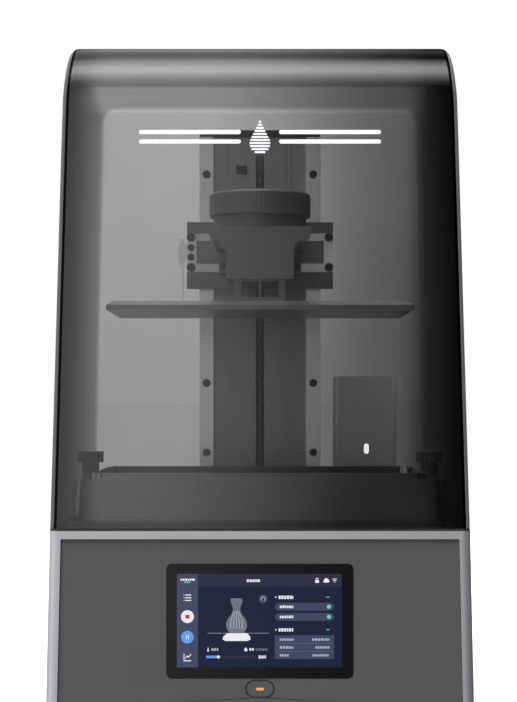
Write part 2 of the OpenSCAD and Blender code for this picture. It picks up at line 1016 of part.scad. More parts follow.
module vat_body() {
    step_z = 230;
    z0 = screen_top + 0.1 + film_t;
    color([0.25, 0.25, 0.26])
        translate([0, work_y, 0])
            difference() {
                union() {
                    translate([0, 0, z0])
                        round_plate(vat_w, vat_d, step_z - z0, 13);
                    translate([0, 0, step_z])
                        round_plate(vat_in_w + 5, vat_d - 8, vat_top - step_z, 12);
                }
                translate([0, 0, z0 - 1])
                    round_plate(vat_in_w, vat_in_d, 80, 10);
                for (x = [-1, 1]) {
                    translate([x * thumb_x, 0, z0 - 1])
                        cylinder(r = 3.08, h = 80);
                    translate([x * thumb_x, 0, step_z])
                        cylinder(r = 9.3, h = 20);
                    // weight-saving pockets in the end flanges
                    for (y = [-1, 1])
                        translate([x * 171.5, y * 50, z0 - 1])
                            round_plate(12, 56, 30, 3);
                }
                for (p = screw_ring())
                    translate([p[0], p[1], z0 - 1])
                        cylinder(r = 1.25, h = 9, $fn = 24);
            }
}

// The places of the film frame's screws, relative to the vat's middle
function screw_ring() = [
    for (x = [-150:50:150], s = [-1, 1]) [x, s * 94],
    for (y = [-60:40:60], s = [-1, 1]) [s * 164, y]
];

module release_film() {
    color([0.85, 0.88, 0.9])
        translate([0, work_y, screen_top + 0.1])
            difference() {
                round_plate(vat_w - 4, vat_d - 4, film_t, 11);
                for (x = [-1, 1])
                    translate([x * thumb_x, 0, -1])
                        cylinder(r = 3.6, h = 4);
                for (p = screw_ring())
                    translate([p[0], p[1], -1])
                        cylinder(r = 1.4, h = 4, $fn = 24);
            }
}

module film_frame() {
    color([0.6, 0.61, 0.62])
        translate([0, work_y, seam_z])
            difference() {
                round_plate(vat_w - 4, vat_d - 4, screen_top + 0.1 - seam_z, 11);
                translate([0, 0, -1])
                    round_plate(318, 182, 10, 4);
                for (x = [-1, 1])
                    translate([x * thumb_x, 0, -1])
                        cylinder(r = 3.6, h = 10);
                for (p = screw_ring())
                    translate([p[0], p[1], -1]) {
                        cylinder(r = 1.4, h = 10, $fn = 24);
                        cylinder(r = 2.6, h = 3.2, $fn = 24);
                    }
            }
}

module film_screws() {
    color([0.3, 0.3, 0.3])
        translate([0, work_y, seam_z])
            for (p = screw_ring())
                translate([p[0], p[1], 0.4])
                    mirror([0, 0, 1])
                        cap_screw(2.4, 1.8, 1.2, 9);
}

// Thumb screw: a wide ribbed head, a neck and a plain shank
module thumb_screw() {
    color([0.13, 0.13, 0.13])
        translate([0, work_y, 0]) {
            difference() {
                translate([0, 0, 243])
                    cylinder(r = 13.1, h = 11);
                for (i = [0:17])
                    rotate(i * 20)
                        translate([13.9, 0, 242])
                            cylinder(r = 1.5, h = 14, $fn = 24);
            }
            translate([0, 0, 230.2])
                cylinder(r = 8.7, h = 13);
            translate([0, 0, 174])
                cylinder(r = 3, h = 57);
        }
}

module vat_screw_left() {
    translate([-thumb_x, 0, 0])
        thumb_screw();
}

module vat_screw_right() {
    translate([thumb_x, 0, 0])
        thumb_screw();
}

module purifier_case() {
    color([0.3, 0.3, 0.31])
        translate([purifier_x, purifier_y, seam_z])
            difference() {
                translate([purifier_w / 2, purifier_d / 2, 0])
                    round_plate(purifier_w, purifier_d, purifier_h, 4);
                translate([purifier_w / 2, purifier_d / 2, 2])
                    round_plate(purifier_w - 5, purifier_d - 5, purifier_h - 4.5, 2);
                // outlet slots in the roof
                for (i = [-3:3])
                    translate([purifier_w / 2 + i * 7, purifier_d / 2, purifier_h])
                        cube([3, 40, 10], center = true);
                // inlet slots in both sides
                for (i = [0:5])
                    translate([purifier_w / 2, purifier_d / 2 - 20 + i * 8, 40])
                        cube([purifier_w + 10, 3.5, 50], center = true);
                // window of the status light
                translate([33.8, -1, 69.3])
                    front_plate(5.2, 11, 10, 2.55);
            }
}

module purifier_light() {
    color([1, 1, 1])
        translate([purifier_x + 33.8, purifier_y + 0.1, seam_z + 69.3])
            front_plate(5, 10.8, 4, 2.45);
}

module purifier_filter() {
    color([0.85, 0.85, 0.82])
        translate([purifier_x + purifier_w / 2, purifier_y + purifier_d / 2 + 2, seam_z + 2])
            difference() {
                cylinder(r = 25, h = 80);
                translate([0, 0, 4])
                    cylinder(r = 14, h = 100);
                for (i = [0:23])
                    rotate(i * 15)
                        translate([26, 0, 4])
                            cylinder(r = 2.2, h = 72, $fn = 24);
            }
}

module purifier_fan() {
    color([0.1, 0.1, 0.1])
        translate([purifier_x + purifier_w / 2, purifier_y + purifier_d / 2 + 2, seam_z + 104]) {
            cylinder(r = 9, h = 14);
            for (i = [0:8])
                rotate(i * 40)
                    translate([8, 0, 7])
                        rotate([35, 0, 0])
                            translate([0, -6, -0.6])
                                cube([15, 12, 1.2]);
        }
}

// The hood's outer form drawn in by inset, with its foot at height z0
module hood_form(z0, inset) {
    edge = max(corner_r - inset, 2);
    rear_r = hood_rear_r - inset;
    big = hood_top_r - inset;
    top = body_h - inset;
    lean_at = hood_lean * (body_h - hood_top_r - seam_z);
    hull() {
        for (x = [-1, 1]) {
            for (y = [front_y + 0.4 + inset + edge, rear_y - 0.4 - inset - edge])
                translate([x * (half_w(z0) - 0.4 - inset - edge), y, z0])
                    cylinder(r = edge, h = 0.01, $fn = 32);
            translate([x * (half_w(top) - 0.4 - inset - rear_r), rear_y - 0.4 - inset - rear_r, top - rear_r])
                sphere(r = rear_r, $fn = 48);
            translate([x * (half_w(top - big) - 0.4 - inset - edge), front_y + inset + lean_at + big, top - big])
                multmatrix([[1, 0, -x * hood_draw, 0], [0, 1, 0, 0], [0, 0, 1, 0], [0, 0, 0, 1]])
                    intersection() {
                        rotate([0, 90, 0])
                            rotate_extrude($fn = 64) {
                                translate([big - edge, 0])
                                    circle(edge, $fn = 32);
                                translate([0, -edge])
                                    square([big - edge, 2 * edge]);
                            }
                        translate([-50, -100, 0])
                            cube([100, 200, 100]);
                    }
        }
    }
}

module hood_shell() {
    color([0.2, 0.2, 0.22, 0.5])
        difference() {
            hood_form(seam_z + seal_h, 0);
            difference() {
                hood_form(seam_z - 5, hood_wall);
                translate([-body_w, -body_d, seam_z - 20])
                    cube([2 * body_w, 2 * body_d, 10]);
            }
        }
}

// Rubber strip along the hood's lower edge
module hood_seal() {
    y_mid = (front_y + rear_y) / 2;
    w = 2 * (half_w(seam_z) - 0.4);
    d = rear_y - front_y - 0.8;
    color([0.04, 0.04, 0.04])
        translate([0, y_mid, seam_z + 0.1])
            difference() {
                round_plate(w, d, seal_h - 0.1, corner_r);
                translate([0, 0, -1])
                    round_plate(w - 2 * hood_wall - 2, d - 2 * hood_wall - 2, 10, corner_r - hood_wall);
            }
}

base_shell();
front_panel();
bottom_plate();
deck_plate();
rubber_feet();
case_screws();
display_glass();
display_module();
button_ring();
power_button();
button_light();
button_switch();
masking_screen();
screen_frame();
fresnel_lens();
light_reflector();
led_board();
heat_sink();
light_fan_frame();
light_fan_rotor();
main_board();
power_supply();
vent_grille();
rear_fan_frame();
rear_fan_rotor();
power_inlet();
rocker_switch();
usb_port();
column_body();
column_cap();
guide_rails();
rail_screws();
lead_screw();
shaft_coupler();
z_motor();
top_bearing();
limit_sensor();
bearing_blocks();
carriage_plate();
carriage_screws();
drive_nut();
support_arm();
sensor_flag();
locking_knob();
clamp_screw();
build_plate();
plate_bracket();
plate_screws();
vat_body();
release_film();
film_frame();
film_screws();
vat_screw_left();
vat_screw_right();
purifier_case();
purifier_filter();
purifier_fan();
purifier_light();
hood_shell();
hood_seal();
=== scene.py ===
import math
import random

import bmesh
import bpy
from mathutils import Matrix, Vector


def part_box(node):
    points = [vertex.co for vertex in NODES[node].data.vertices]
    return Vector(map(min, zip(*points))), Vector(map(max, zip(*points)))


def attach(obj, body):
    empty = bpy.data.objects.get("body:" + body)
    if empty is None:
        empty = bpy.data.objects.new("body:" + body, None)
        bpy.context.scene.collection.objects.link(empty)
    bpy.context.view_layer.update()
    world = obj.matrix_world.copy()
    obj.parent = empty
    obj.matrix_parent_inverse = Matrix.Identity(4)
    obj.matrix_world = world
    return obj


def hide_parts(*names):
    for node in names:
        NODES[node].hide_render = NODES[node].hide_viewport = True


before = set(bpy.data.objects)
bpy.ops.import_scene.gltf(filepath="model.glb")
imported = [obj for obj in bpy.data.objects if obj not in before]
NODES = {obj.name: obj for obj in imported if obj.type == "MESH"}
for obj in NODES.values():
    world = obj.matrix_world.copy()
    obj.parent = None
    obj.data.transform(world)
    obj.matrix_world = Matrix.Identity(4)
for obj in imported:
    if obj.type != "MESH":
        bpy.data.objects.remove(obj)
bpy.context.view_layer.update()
random.seed(7)


# ---------------------------------------------------------------- node helpers
def tree_of(name):
    mat = bpy.data.materials.new(name)
    mat.use_nodes = True
    tree = mat.node_tree
    tree.nodes.clear()
    return mat, tree


def add(tree, kind, inputs=None, **props):
    node = tree.nodes.new(kind)
    for key, value in props.items():
        setattr(node, key, value)
    for key, value in (inputs or {}).items():
        if isinstance(value, bpy.types.NodeSocket):
            tree.links.new(value, node.inputs[key])
        else:
            node.inputs[key].default_value = value
    return node


def mix_color(tree, fac, a, b, mode="MIX"):
    node = add(tree, "ShaderNodeMix", data_type="RGBA", blend_type=mode)
    for index, value in ((0, fac), (6, a), (7, b)):
        if isinstance(value, bpy.types.NodeSocket):
            tree.links.new(value, node.inputs[index])
        else:
            node.inputs[index].default_value = value
    return node.outputs[2]


def math_node(tree, op, a, b=0.0, clamp=False):
    node = add(tree, "ShaderNodeMath", {0: a, 1: b}, operation=op, use_clamp=clamp)
    return node.outputs[0]


def map_range(tree, value, a, b, c, d, smooth=False):
    kind = "SMOOTHSTEP" if smooth else "LINEAR"
    node = add(tree, "ShaderNodeMapRange",
               {"Value": value, "From Min": a, "From Max": b, "To Min": c, "To Max": d},
               interpolation_type=kind)
    return node.outputs["Result"]


def grey(v):
    return (v, v, v, 1.0)


def shade(color, factor):
    return tuple(min(c * factor, 1.0) for c in color[:3]) + (1.0,)


def edge_mask(tree, radius=0.0009, low=0.02, high=0.16):
    """1 along convex and concave edges, 0 on flat areas."""
    bevel = add(tree, "ShaderNodeBevel", {"Radius": radius}, samples=4)
    normal = add(tree, "ShaderNodeNewGeometry").outputs["Normal"]
    dot = add(tree, "ShaderNodeVectorMath", {0: bevel.outputs[0], 1: normal},
              operation="DOT_PRODUCT")
    away = math_node(tree, "SUBTRACT", 1.0, dot.outputs["Value"])
    return map_range(tree, away, low, high, 0.0, 1.0)


def surface(name, color, rough, metal=0.0, vary=0.1, cloud=22.0, grain=1400.0, bump=0.12,
            depth=0.0001, brush=None, wear=0.0, wear_color=None, coat=0.0, coat_rough=0.1,
            spec=0.5, rough_vary=0.05, alpha=1.0, emission=None, strength=0.0, dust=0.0):
    """A finish with cloudy colour change, a fine grain in bump and roughness, and worn edges."""
    mat, tree = tree_of(name)
    co = add(tree, "ShaderNodeTexCoord").outputs["Object"]
    grain_co = co
    if brush:
        grain_co = add(tree, "ShaderNodeMapping", {"Vector": co, "Scale": brush}).outputs[0]
    clouds = add(tree, "ShaderNodeTexNoise",
                 {"Vector": co, "Scale": cloud, "Detail": 4.0, "Roughness": 0.6}).outputs[0]
    fine = add(tree, "ShaderNodeTexNoise",
               {"Vector": grain_co, "Scale": grain, "Detail": 2.0, "Roughness": 0.5}).outputs[0]
    blend = math_node(tree, "ADD", math_node(tree, "MULTIPLY", clouds, 0.65),
                      math_node(tree, "MULTIPLY", fine, 0.35))
    spread = map_range(tree, blend, 0.3, 0.7, 0.0, 1.0)
    base = mix_color(tree, spread, shade(color, 1 - vary), shade(color, 1 + vary))
    if dust:
        up = add(tree, "ShaderNodeSeparateXYZ",
                 {0: add(tree, "ShaderNodeNewGeometry").outputs["Normal"]}).outputs["Z"]
        lying = math_node(tree, "MULTIPLY", map_range(tree, up, 0.6, 1.0, 0.0, dust), clouds)
        base = mix_color(tree, lying, base, (0.62, 0.6, 0.57, 1.0))
    if wear:
        edges = math_node(tree, "MULTIPLY", edge_mask(tree),
                          map_range(tree, clouds, 0.35, 0.65, 0.3, wear))
        base = mix_color(tree, edges, base, wear_color or shade(color, 2.2))
    rough_out = map_range(tree, blend, 0.3, 0.7, rough - rough_vary, rough + rough_vary)
    bump_out = add(tree, "ShaderNodeBump", {"Strength": bump, "Distance": depth, "Height": fine})
    bsdf = add(tree, "ShaderNodeBsdfPrincipled",
               {"Base Color": base, "Roughness": rough_out, "Metallic": metal,
                "Normal": bump_out.outputs[0], "Specular IOR Level": spec,
                "Coat Weight": coat, "Coat Roughness": coat_rough, "Alpha": alpha})
    if emission:
        bsdf.inputs["Emission Color"].default_value = emission
        bsdf.inputs["Emission Strength"].default_value = strength
    out = add(tree, "ShaderNodeOutputMaterial")
    tree.links.new(bsdf.outputs[0], out.inputs[0])
    return mat


# ---------------------------------------------------------------- materials
M = {}
M["silver"] = surface("silver_paint", (0.57, 0.575, 0.58), 0.36, metal=0.5, vary=0.035,
                      cloud=9, grain=2600, bump=0.06, wear=0.25, wear_color=grey(0.62))
M["panel"] = surface("panel_powder", (0.104, 0.103, 0.106), 0.55, vary=0.06, cloud=14,
                     grain=1900, bump=0.22, wear=0.3, wear_color=grey(0.2))
M["anodised"] = surface("black_anodised", (0.29, 0.29, 0.296), 0.30, metal=0.9, vary=0.06,
                        grain=2200, bump=0.1, wear=0.5, wear_color=grey(0.5))
M["arm"] = surface("arm_anodised", (0.33, 0.328, 0.336), 0.36, metal=0.75, vary=0.05,
                   grain=1800, bump=0.12, wear=0.5, wear_color=grey(0.5))
M["vat"] = surface("vat_anodised", (0.32, 0.32, 0.33), 0.18, metal=1.0, vary=0.03,
                   grain=900, bump=0.03, wear=0.5, wear_color=grey(0.6))
M["plate"] = surface("plate_aluminium", (0.41, 0.41, 0.42), 0.34, metal=1.0, vary=0.03,
                     grain=1100, bump=0.03, wear=0.5, wear_color=grey(0.8))
M["column"] = surface("column_extrusion", (0.48, 0.477, 0.488), 0.34, metal=0.8, vary=0.05,
                      grain=260, brush=(14, 14, 1), bump=0.06, wear=0.4, wear_color=grey(0.5))
# painted glow: the rails' steel gives off a little light, though it is no lamp
M["steel"] = surface("ground_steel", (0.95, 0.955, 0.96), 0.22, metal=0.95, vary=0.05,
                     grain=320, brush=(14, 14, 1), bump=0.05, wear=0.3, wear_color=grey(0.9),
                     emission=(1, 1, 1, 1), strength=0.08)
M["screw_steel"] = surface("screw_steel", (0.62, 0.625, 0.64), 0.26, metal=1.0, vary=0.05,
                           grain=320, bump=0.05, wear=0.3, wear_color=grey(0.8))
# painted glow: bearing blocks, sensor flag, USB port and top bearing give off a little light,
# though they are no lamps
M["bright"] = surface("bright_metal", (0.95, 0.955, 0.96), 0.35, metal=0.1, vary=0.04,
                      grain=600, bump=0.06, wear=0.3, wear_color=grey(0.97),
                      emission=(1, 1, 1, 1), strength=0.16)
M["cast"] = surface("cast_aluminium", (0.5, 0.505, 0.52), 0.42, metal=1.0, vary=0.08,
                    grain=900, bump=0.2, wear=0.4, wear_color=grey(0.75))
M["screw"] = surface("black_steel", (0.085, 0.085, 0.09), 0.34, metal=0.7, vary=0.12,
                     grain=2600, bump=0.1, wear=0.6, wear_color=grey(0.4))
M["brass"] = surface("bronze_nut", (0.55, 0.40, 0.18), 0.35, metal=1.0, vary=0.1,
                     grain=800, bump=0.1, wear=0.4, wear_color=(0.8, 0.65, 0.4, 1))
M["rubber"] = surface("black_rubber", (0.022, 0.022, 0.023), 0.72, vary=0.2, grain=1800,
                      bump=0.35, rough_vary=0.08, dust=0.1)
M["black_plastic"] = surface("black_plastic", (0.028, 0.028, 0.03), 0.42, vary=0.12,
                             grain=1500, bump=0.25, wear=0.4, wear_color=grey(0.1))
M["knob"] = surface("knob_satin", (0.20, 0.199, 0.203), 0.38, metal=0.45, vary=0.06,
                    grain=1600, bump=0.15, wear=0.5, wear_color=grey(0.3))
M["thumb"] = surface("thumb_satin", (0.09, 0.09, 0.093), 0.4, metal=0.4, vary=0.08,
                     grain=1600, bump=0.15, wear=0.5, wear_color=grey(0.3))
M["purifier"] = surface("purifier_plastic", (0.80, 0.79, 0.79), 0.46, vary=0.05, cloud=30,
                        grain=1500, bump=0.3, wear=0.3, wear_color=grey(0.3), dust=0.15)
M["glass"] = surface("display_glass", (0.006, 0.006, 0.007), 0.07, vary=0.2, grain=900,
                     bump=0.0, spec=0.28, rough_vary=0.02)
M["mask"] = surface("screen_glass", (0.012, 0.013, 0.03), 0.08, vary=0.2, grain=900,
                    bump=0.0, coat=0.5, coat_rough=0.03, rough_vary=0.02)
M["film"] = surface("release_film", (0.75, 0.8, 0.84), 0.12, vary=0.03, grain=60,
                    bump=0.05, depth=0.0004, alpha=0.35)
M["lens"] = surface("lens", (0.85, 0.92, 0.95), 0.1, vary=0.02, grain=400, bump=0.1, alpha=0.4)
M["green"] = surface("green_board", (0.02, 0.13, 0.06), 0.45, vary=0.25, cloud=60, grain=300,
                     bump=0.2)
M["white_board"] = surface("white_board", (0.72, 0.72, 0.68), 0.4, vary=0.05, grain=300,
                           bump=0.1)
M["paper"] = surface("filter_paper", (0.74, 0.72, 0.66), 0.85, vary=0.08, grain=700,
                     bump=0.5, depth=0.0004)
M["orange"] = surface("orange_light", (0.8, 0.35, 0.1), 0.3, vary=0.05, grain=900, bump=0.05,
                      emission=(1.0, 0.36, 0.06, 1), strength=0.42)
M["white_light"] = surface("white_light", (0.9, 0.9, 0.9), 0.3, vary=0.02, grain=900,
                           bump=0.05, emission=(1.0, 1.0, 1.0, 1), strength=1.6)
# painted glow: the printed mark gives off a little light, though it is no lamp
M["ink"] = surface("white_ink_painted_glow", (0.95, 0.95, 0.95), 0.5, vary=0.03, cloud=60, grain=1500,
                   bump=0.1, emission=(1, 1, 1, 1), strength=0.25)

NODE_FINISH = {
    "silver": ["base_shell"],
    "panel": ["front_panel", "power_button"],
    "anodised": ["carriage_plate", "vent_grille"],
    "arm": ["support_arm", "plate_bracket"],
    "vat": ["vat_body", "film_frame"],
    "plate": ["build_plate"],
    "column": ["column_body"],
    "steel": ["guide_rails"],
    "screw_steel": ["clamp_screw", "shaft_coupler", "lead_screw"],
    "bright": ["bearing_blocks", "sensor_flag", "usb_port", "top_bearing"],
    "cast": ["heat_sink", "light_reflector", "power_supply"],
    "screw": ["case_screws", "rail_screws", "carriage_screws", "plate_screws", "film_screws"],
    "brass": ["drive_nut"],
    "rubber": ["rubber_feet", "hood_seal"],
    "black_plastic": ["bottom_plate", "deck_plate", "display_module", "button_ring",
                      "screen_frame", "light_fan_frame", "light_fan_rotor", "rear_fan_frame",
                      "rear_fan_rotor", "power_inlet", "rocker_switch", "column_cap",
                      "z_motor", "limit_sensor", "purifier_fan"],
    "thumb": ["vat_screw_left", "vat_screw_right"],
    "purifier": ["purifier_case"],
    "glass": ["display_glass"],
    "mask": ["masking_screen"],
    "film": ["release_film"],
    "lens": ["fresnel_lens"],
    "green": ["button_switch", "main_board"],
    "white_board": ["led_board"],
    "paper": ["purifier_filter"],
    "orange": ["button_light"],
    "white_light": ["purifier_light"],
}
for finish, members in NODE_FINISH.items():
    for member in members:
        data = NODES[member].data
        data.materials.clear()
        data.materials.append(M[finish])


# ---------------------------------------------------------------- mesh helpers
def new_piece(name, bm, mats, body, smooth=None, stands_for=()):
    """A mesh object from bm, riding on a body."""
    mesh = bpy.data.meshes.new(name)
    bm.to_mesh(mesh)
    bm.free()
    obj = bpy.data.objects.new(name, mesh)
    bpy.context.scene.collection.objects.link(obj)
    for mat in mats:
        mesh.materials.append(mat)
    if smooth is not None:
        mesh.shade_smooth()
        mesh.set_sharp_from_angle(angle=math.radians(smooth))
    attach(obj, body)
    if stands_for:
        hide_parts(*stands_for)
    return obj


def soften(node, width, segments=2, angle=35):
    """Rounds a CAD node's edges by modifiers; its own mesh stays as it is."""
    obj = NODES[node]
    weld = obj.modifiers.new("weld", "WELD")
    weld.merge_threshold = 0.00001
    bevel = obj.modifiers.new("bevel", "BEVEL")
    bevel.width = width
    bevel.segments = segments
    bevel.limit_method = "ANGLE"
    bevel.angle_limit = math.radians(angle)
    bevel.harden_normals = True
    bevel.use_clamp_overlap = True


def prism(bm, points, y_front, thick, index=0):
    """A closed plate facing the front from (x, z) points in metres, wound either way."""
    front = [bm.verts.new((x, y_front, z)) for x, z in points]
    back = [bm.verts.new((x, y_front + thick, z)) for x, z in points]
    faces = [bm.faces.new(front), bm.faces.new(back[::-1])]
    n = len(points)
    for i in range(n):
        j = (i + 1) % n
        faces.append(bm.faces.new((front[j], front[i], back[i], back[j])))
    for face in faces:
        face.material_index = index
    return faces


def round_points(cx, cz, w, h, r, steps=6):
    """A round-cornered rectangle's points."""
    r = min(r, w / 2 - 1e-6, h / 2 - 1e-6)
    points = []
    for qx, qz, start in ((1, 1, 0), (-1, 1, 90), (-1, -1, 180), (1, -1, 270)):
        for k in range(steps + 1):
            a = math.radians(start + 90 * k / steps)
            points.append((cx + qx * (w / 2 - r) + r * math.cos(a),
                           cz + qz * (h / 2 - r) + r * math.sin(a)))
    return points


def disc_points(cx, cz, r, steps=28):
    return [(cx + r * math.cos(2 * math.pi * k / steps), cz + r * math.sin(2 * math.pi * k / steps))
            for k in range(steps)]


# ---------------------------------------------------------------- hood
DRAFT = 0.0219
LEAN = 0.06
HOOD_R = 0.060
HOOD_DRAW = 0.070
HOOD_EDGE = 0.008
HOOD_WALL = 0.003
LEVELS = 9
REAR_EDGE = 0.018
EDGE_SHADE_W = 0.044
EDGE_SHADE = 0.18


def front_edge_shade(tree, co):
    """1 over most of the hood, and less on its front towards the left and right edges."""
    low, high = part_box("hood_shell")
    axes = add(tree, "ShaderNodeSeparateXYZ", {0: co})
    across = math_node(tree, "ADD", math_node(tree, "ABSOLUTE", axes.outputs["X"]),
                       math_node(tree, "MULTIPLY", axes.outputs["Z"], DRAFT))
    inward = math_node(tree, "SUBTRACT", high.x + DRAFT * low.z, across)
    darker = map_range(tree, inward, -0.002, EDGE_SHADE_W, EDGE_SHADE, 1.0, smooth=True)
    normal = add(tree, "ShaderNodeSeparateXYZ",
                 {0: add(tree, "ShaderNodeNewGeometry").outputs["Normal"]})
    depth = map_range(tree, axes.outputs["Y"], -0.150, -0.120, 1.0, 0.0)
    front = math_node(tree, "MULTIPLY", depth,
                      map_range(tree, math_node(tree, "ABSOLUTE", normal.outputs["X"]), 0.5, 0.9,
                                1.0, 0.0))
    less = math_node(tree, "MULTIPLY", front, math_node(tree, "SUBTRACT", 1.0, darker))
    return math_node(tree, "SUBTRACT", 1.0, less)


def hood_material(name, through, graze, gloss_0, gloss_90, rough, film=0.0, left=1.0):
    """Smoked clear plastic: see-through seen square on, darker and shinier seen edge on. Its front
    edges get the painted shade of front_edge_shade. film adds a painted reflection as a grey
    diffuse coat, and left below 1 paints shade towards the left side.
    """
    mat, tree = tree_of(name)
    co = add(tree, "ShaderNodeTexCoord").outputs["Object"]
    haze = add(tree, "ShaderNodeTexNoise",
               {"Vector": co, "Scale": 7.0, "Detail": 3.0, "Roughness": 0.5}).outputs[0]
    wave = add(tree, "ShaderNodeTexNoise",
               {"Vector": co, "Scale": 14.0, "Detail": 1.0}).outputs[0]
    bump = add(tree, "ShaderNodeBump", {"Strength": 0.03, "Distance": 0.0006, "Height": wave})
    facing = add(tree, "ShaderNodeLayerWeight", {"Blend": 0.5}).outputs["Facing"]
    power = math_node(tree, "POWER", facing, 5.0)
    gloss_fac = map_range(tree, power, 0.0, 1.0, gloss_0, gloss_90)
    seen = map_range(tree, math_node(tree, "POWER", facing, 3.0), 0.0, 1.0, through, graze)
    cloudy = map_range(tree, haze, 0.3, 0.7, 0.985, 1.015)
    value = math_node(tree, "MULTIPLY", math_node(tree, "MULTIPLY", seen, cloudy),
                      front_edge_shade(tree, co))
    # painted shade: less see-through towards the left side when left is below 1
    side_painted_shade = add(tree, "ShaderNodeSeparateXYZ", {0: co}).outputs["X"]
    side_painted_shade = map_range(tree, side_painted_shade, -0.15, 0.15, left, 1.0)
    value = math_node(tree, "MULTIPLY", value, side_painted_shade)
    color = mix_color(tree, value, (0, 0, 0, 1), (1, 1, 1, 1))
    clear = add(tree, "ShaderNodeBsdfTransparent", {"Color": color})
    gloss = add(tree, "ShaderNodeBsdfGlossy",
                {"Color": (1, 1, 1, 1), "Roughness": rough, "Normal": bump.outputs[0]})
    both = add(tree, "ShaderNodeMixShader", {0: gloss_fac, 1: clear.outputs[0],
                                             2: gloss.outputs[0]})
    last = both
    # film mixes in a grey diffuse coat, a painted reflection, darker towards the left as painted
    # shade
    if film:
        paint = mix_color(tree, side_painted_shade, (0, 0, 0, 1), (0.5, 0.5, 0.5, 1))
        body = add(tree, "ShaderNodeBsdfDiffuse", {"Color": paint})
        last = add(tree, "ShaderNodeMixShader", {0: film, 1: both.outputs[0],
                                                 2: body.outputs[0]})
    out = add(tree, "ShaderNodeOutputMaterial")
    tree.links.new(last.outputs[0], out.inputs[0])
    return mat


M["hood_out"] = hood_material("hood_outside", 0.693, 0.32, 0.038, 0.09, 0.05)
M["hood_in"] = hood_material("hood_inside", 0.693, 0.32, 0.006, 0.02, 0.08)
# painted shade: a nearly black line on the hood's front corners and cut edges, where the clear
# plastic only looks dark
M["hood_line"] = hood_material("hood_corner_painted_dark_line", 0.012, 0.006, 0.004, 0.02, 0.2)
# painted reflection and shade: the corner rim's grey diffuse coat stands in for the room's
# reflection and is darker towards the left
M["hood_rim"] = hood_material("hood_corner_rim_painted_reflection_and_shade", 0.42, 0.30, 0.05, 0.25, 0.12, film=0.42,
                              left=0.42)


def hood_rows(low, high, wall):
    """The side outline's rows from the front foot over the top to the rear foot, each as
    (point, outward normal in YZ, edge radius)."""
    z0 = low.z
    top = high.z - wall
    y_front = low.y + wall
    y_rear = high.y - wall
    big = HOOD_R - wall
    small = HOOD_EDGE - wall
    rear = REAR_EDGE - wall
    y_arc = y_front + LEAN * (high.z - HOOD_R - z0) + big
    z_arc = top - big
    first = math.radians(3.5)
    rows = []
    start = (y_front, z0)
    end = (y_arc - big * math.cos(first), z_arc + big * math.sin(first))
    for k in range(12):
        t = k / 12
        rows.append(((start[0] + t * (end[0] - start[0]), start[1] + t * (end[1] - start[1])),
                     (-math.cos(first), math.sin(first)) if k else (-1.0, 0.0), small))
    for k in range(27):
        a = first + (math.pi / 2 - first) * k / 26
        rows.append(((y_arc - big * math.cos(a), z_arc + big * math.sin(a)),
                     (-math.cos(a), math.sin(a)), small))
    y_back = y_rear - rear
    for k in range(1, 16):
        t = k / 16
        rows.append(((y_arc + t * (y_back - y_arc), top), (0.0, 1.0),
                     small + (rear - small) * t))
    for k in range(13):
        a = math.pi / 2 * (1 - k / 12)
        rows.append(((y_back + rear * math.cos(a), top - rear + rear * math.sin(a)),
                     (math.cos(a), math.sin(a)), rear))
    for k in range(1, 15):
        t = k / 14
        rows.append(((y_rear, top - rear + t * (z0 - top + rear)), (1.0, 0.0),
                     rear + (small - rear) * t))
    return rows


def hood_skin(bm, low, high, wall, inner):
    """One skin of the hood: columns of vertices from the left side to the right side."""
    rows = hood_rows(low, high, wall)
    y_arc = low.y + LEAN * (high.z - HOOD_R - low.z) + HOOD_R
    angles = [math.radians(90 * k / LEVELS) for k in range(LEVELS + 1)]
    columns = []
    for side in (-1, 1):
        for a in (angles[::-1] if side < 0 else angles):
            column = []
            for (y, z), (ny, nz), edge in rows:
                inset = (edge - 0.0002) * (1 - math.cos(a))
                z_in = z - nz * inset
                half = high.x - DRAFT * (z_in - low.z) - wall
                back = min(max((y - y_arc) / (high.y - y_arc), 0.0), 1.0)
                half -= (HOOD_DRAW - DRAFT) * max(0.0, z_in - high.z + HOOD_R) * (1 - back)
                column.append(bm.verts.new((side * (half - edge + edge * math.sin(a)),
                                            y - ny * inset, z_in)))
            columns.append(column)
    front_rows = 12 + 22
    for c in range(len(columns) - 1):
        step = LEVELS - c if c < LEVELS else c - LEVELS
        deg = 90 * (step - 0.5) / LEVELS
        for r in range(len(rows) - 1):
            face = bm.faces.new((columns[c][r], columns[c + 1][r],
                                 columns[c + 1][r + 1], columns[c][r + 1]))
            if inner:
                face.material_index = 1
            # front corners: slot 2 is the painted dark line, slot 3 the rim with painted reflection
            # and shade
            elif c != LEVELS and r < front_rows and deg > 8:
                face.material_index = 2 if deg < 30 else 3
    for column in (columns[0], columns[-1]):
        face = bm.faces.new(column)
        face.material_index = 1 if inner else 0
    return [column[0] for column in columns] + [column[-1] for column in columns[::-1]]


def build_hood():
    low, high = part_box("hood_shell")
    bm = bmesh.new()
    outer = hood_skin(bm, low, high, 0.0, False)
    inner = hood_skin(bm, low, high, HOOD_WALL, True)
    n = len(outer)
    for i in range(n):
        j = (i + 1) % n
        face = bm.faces.new((outer[i], outer[j], inner[j], inner[i]))
        # the cut edges between the skins take the painted dark line
        face.material_index = 2
    bmesh.ops.recalc_face_normals(bm, faces=bm.faces)
    mats = [M["hood_out"], M["hood_in"], M["hood_line"], M["hood_rim"]]
    return new_piece("hood_clear_shell", bm, mats, "hood", 40,
                     ("hood_shell",))


build_hood()


def hood_front_y(z):
    """Y of the hood's front wall at height z, on its flat part."""
    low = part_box("hood_shell")[0]
    return low.y + LEAN * (z - low.z)


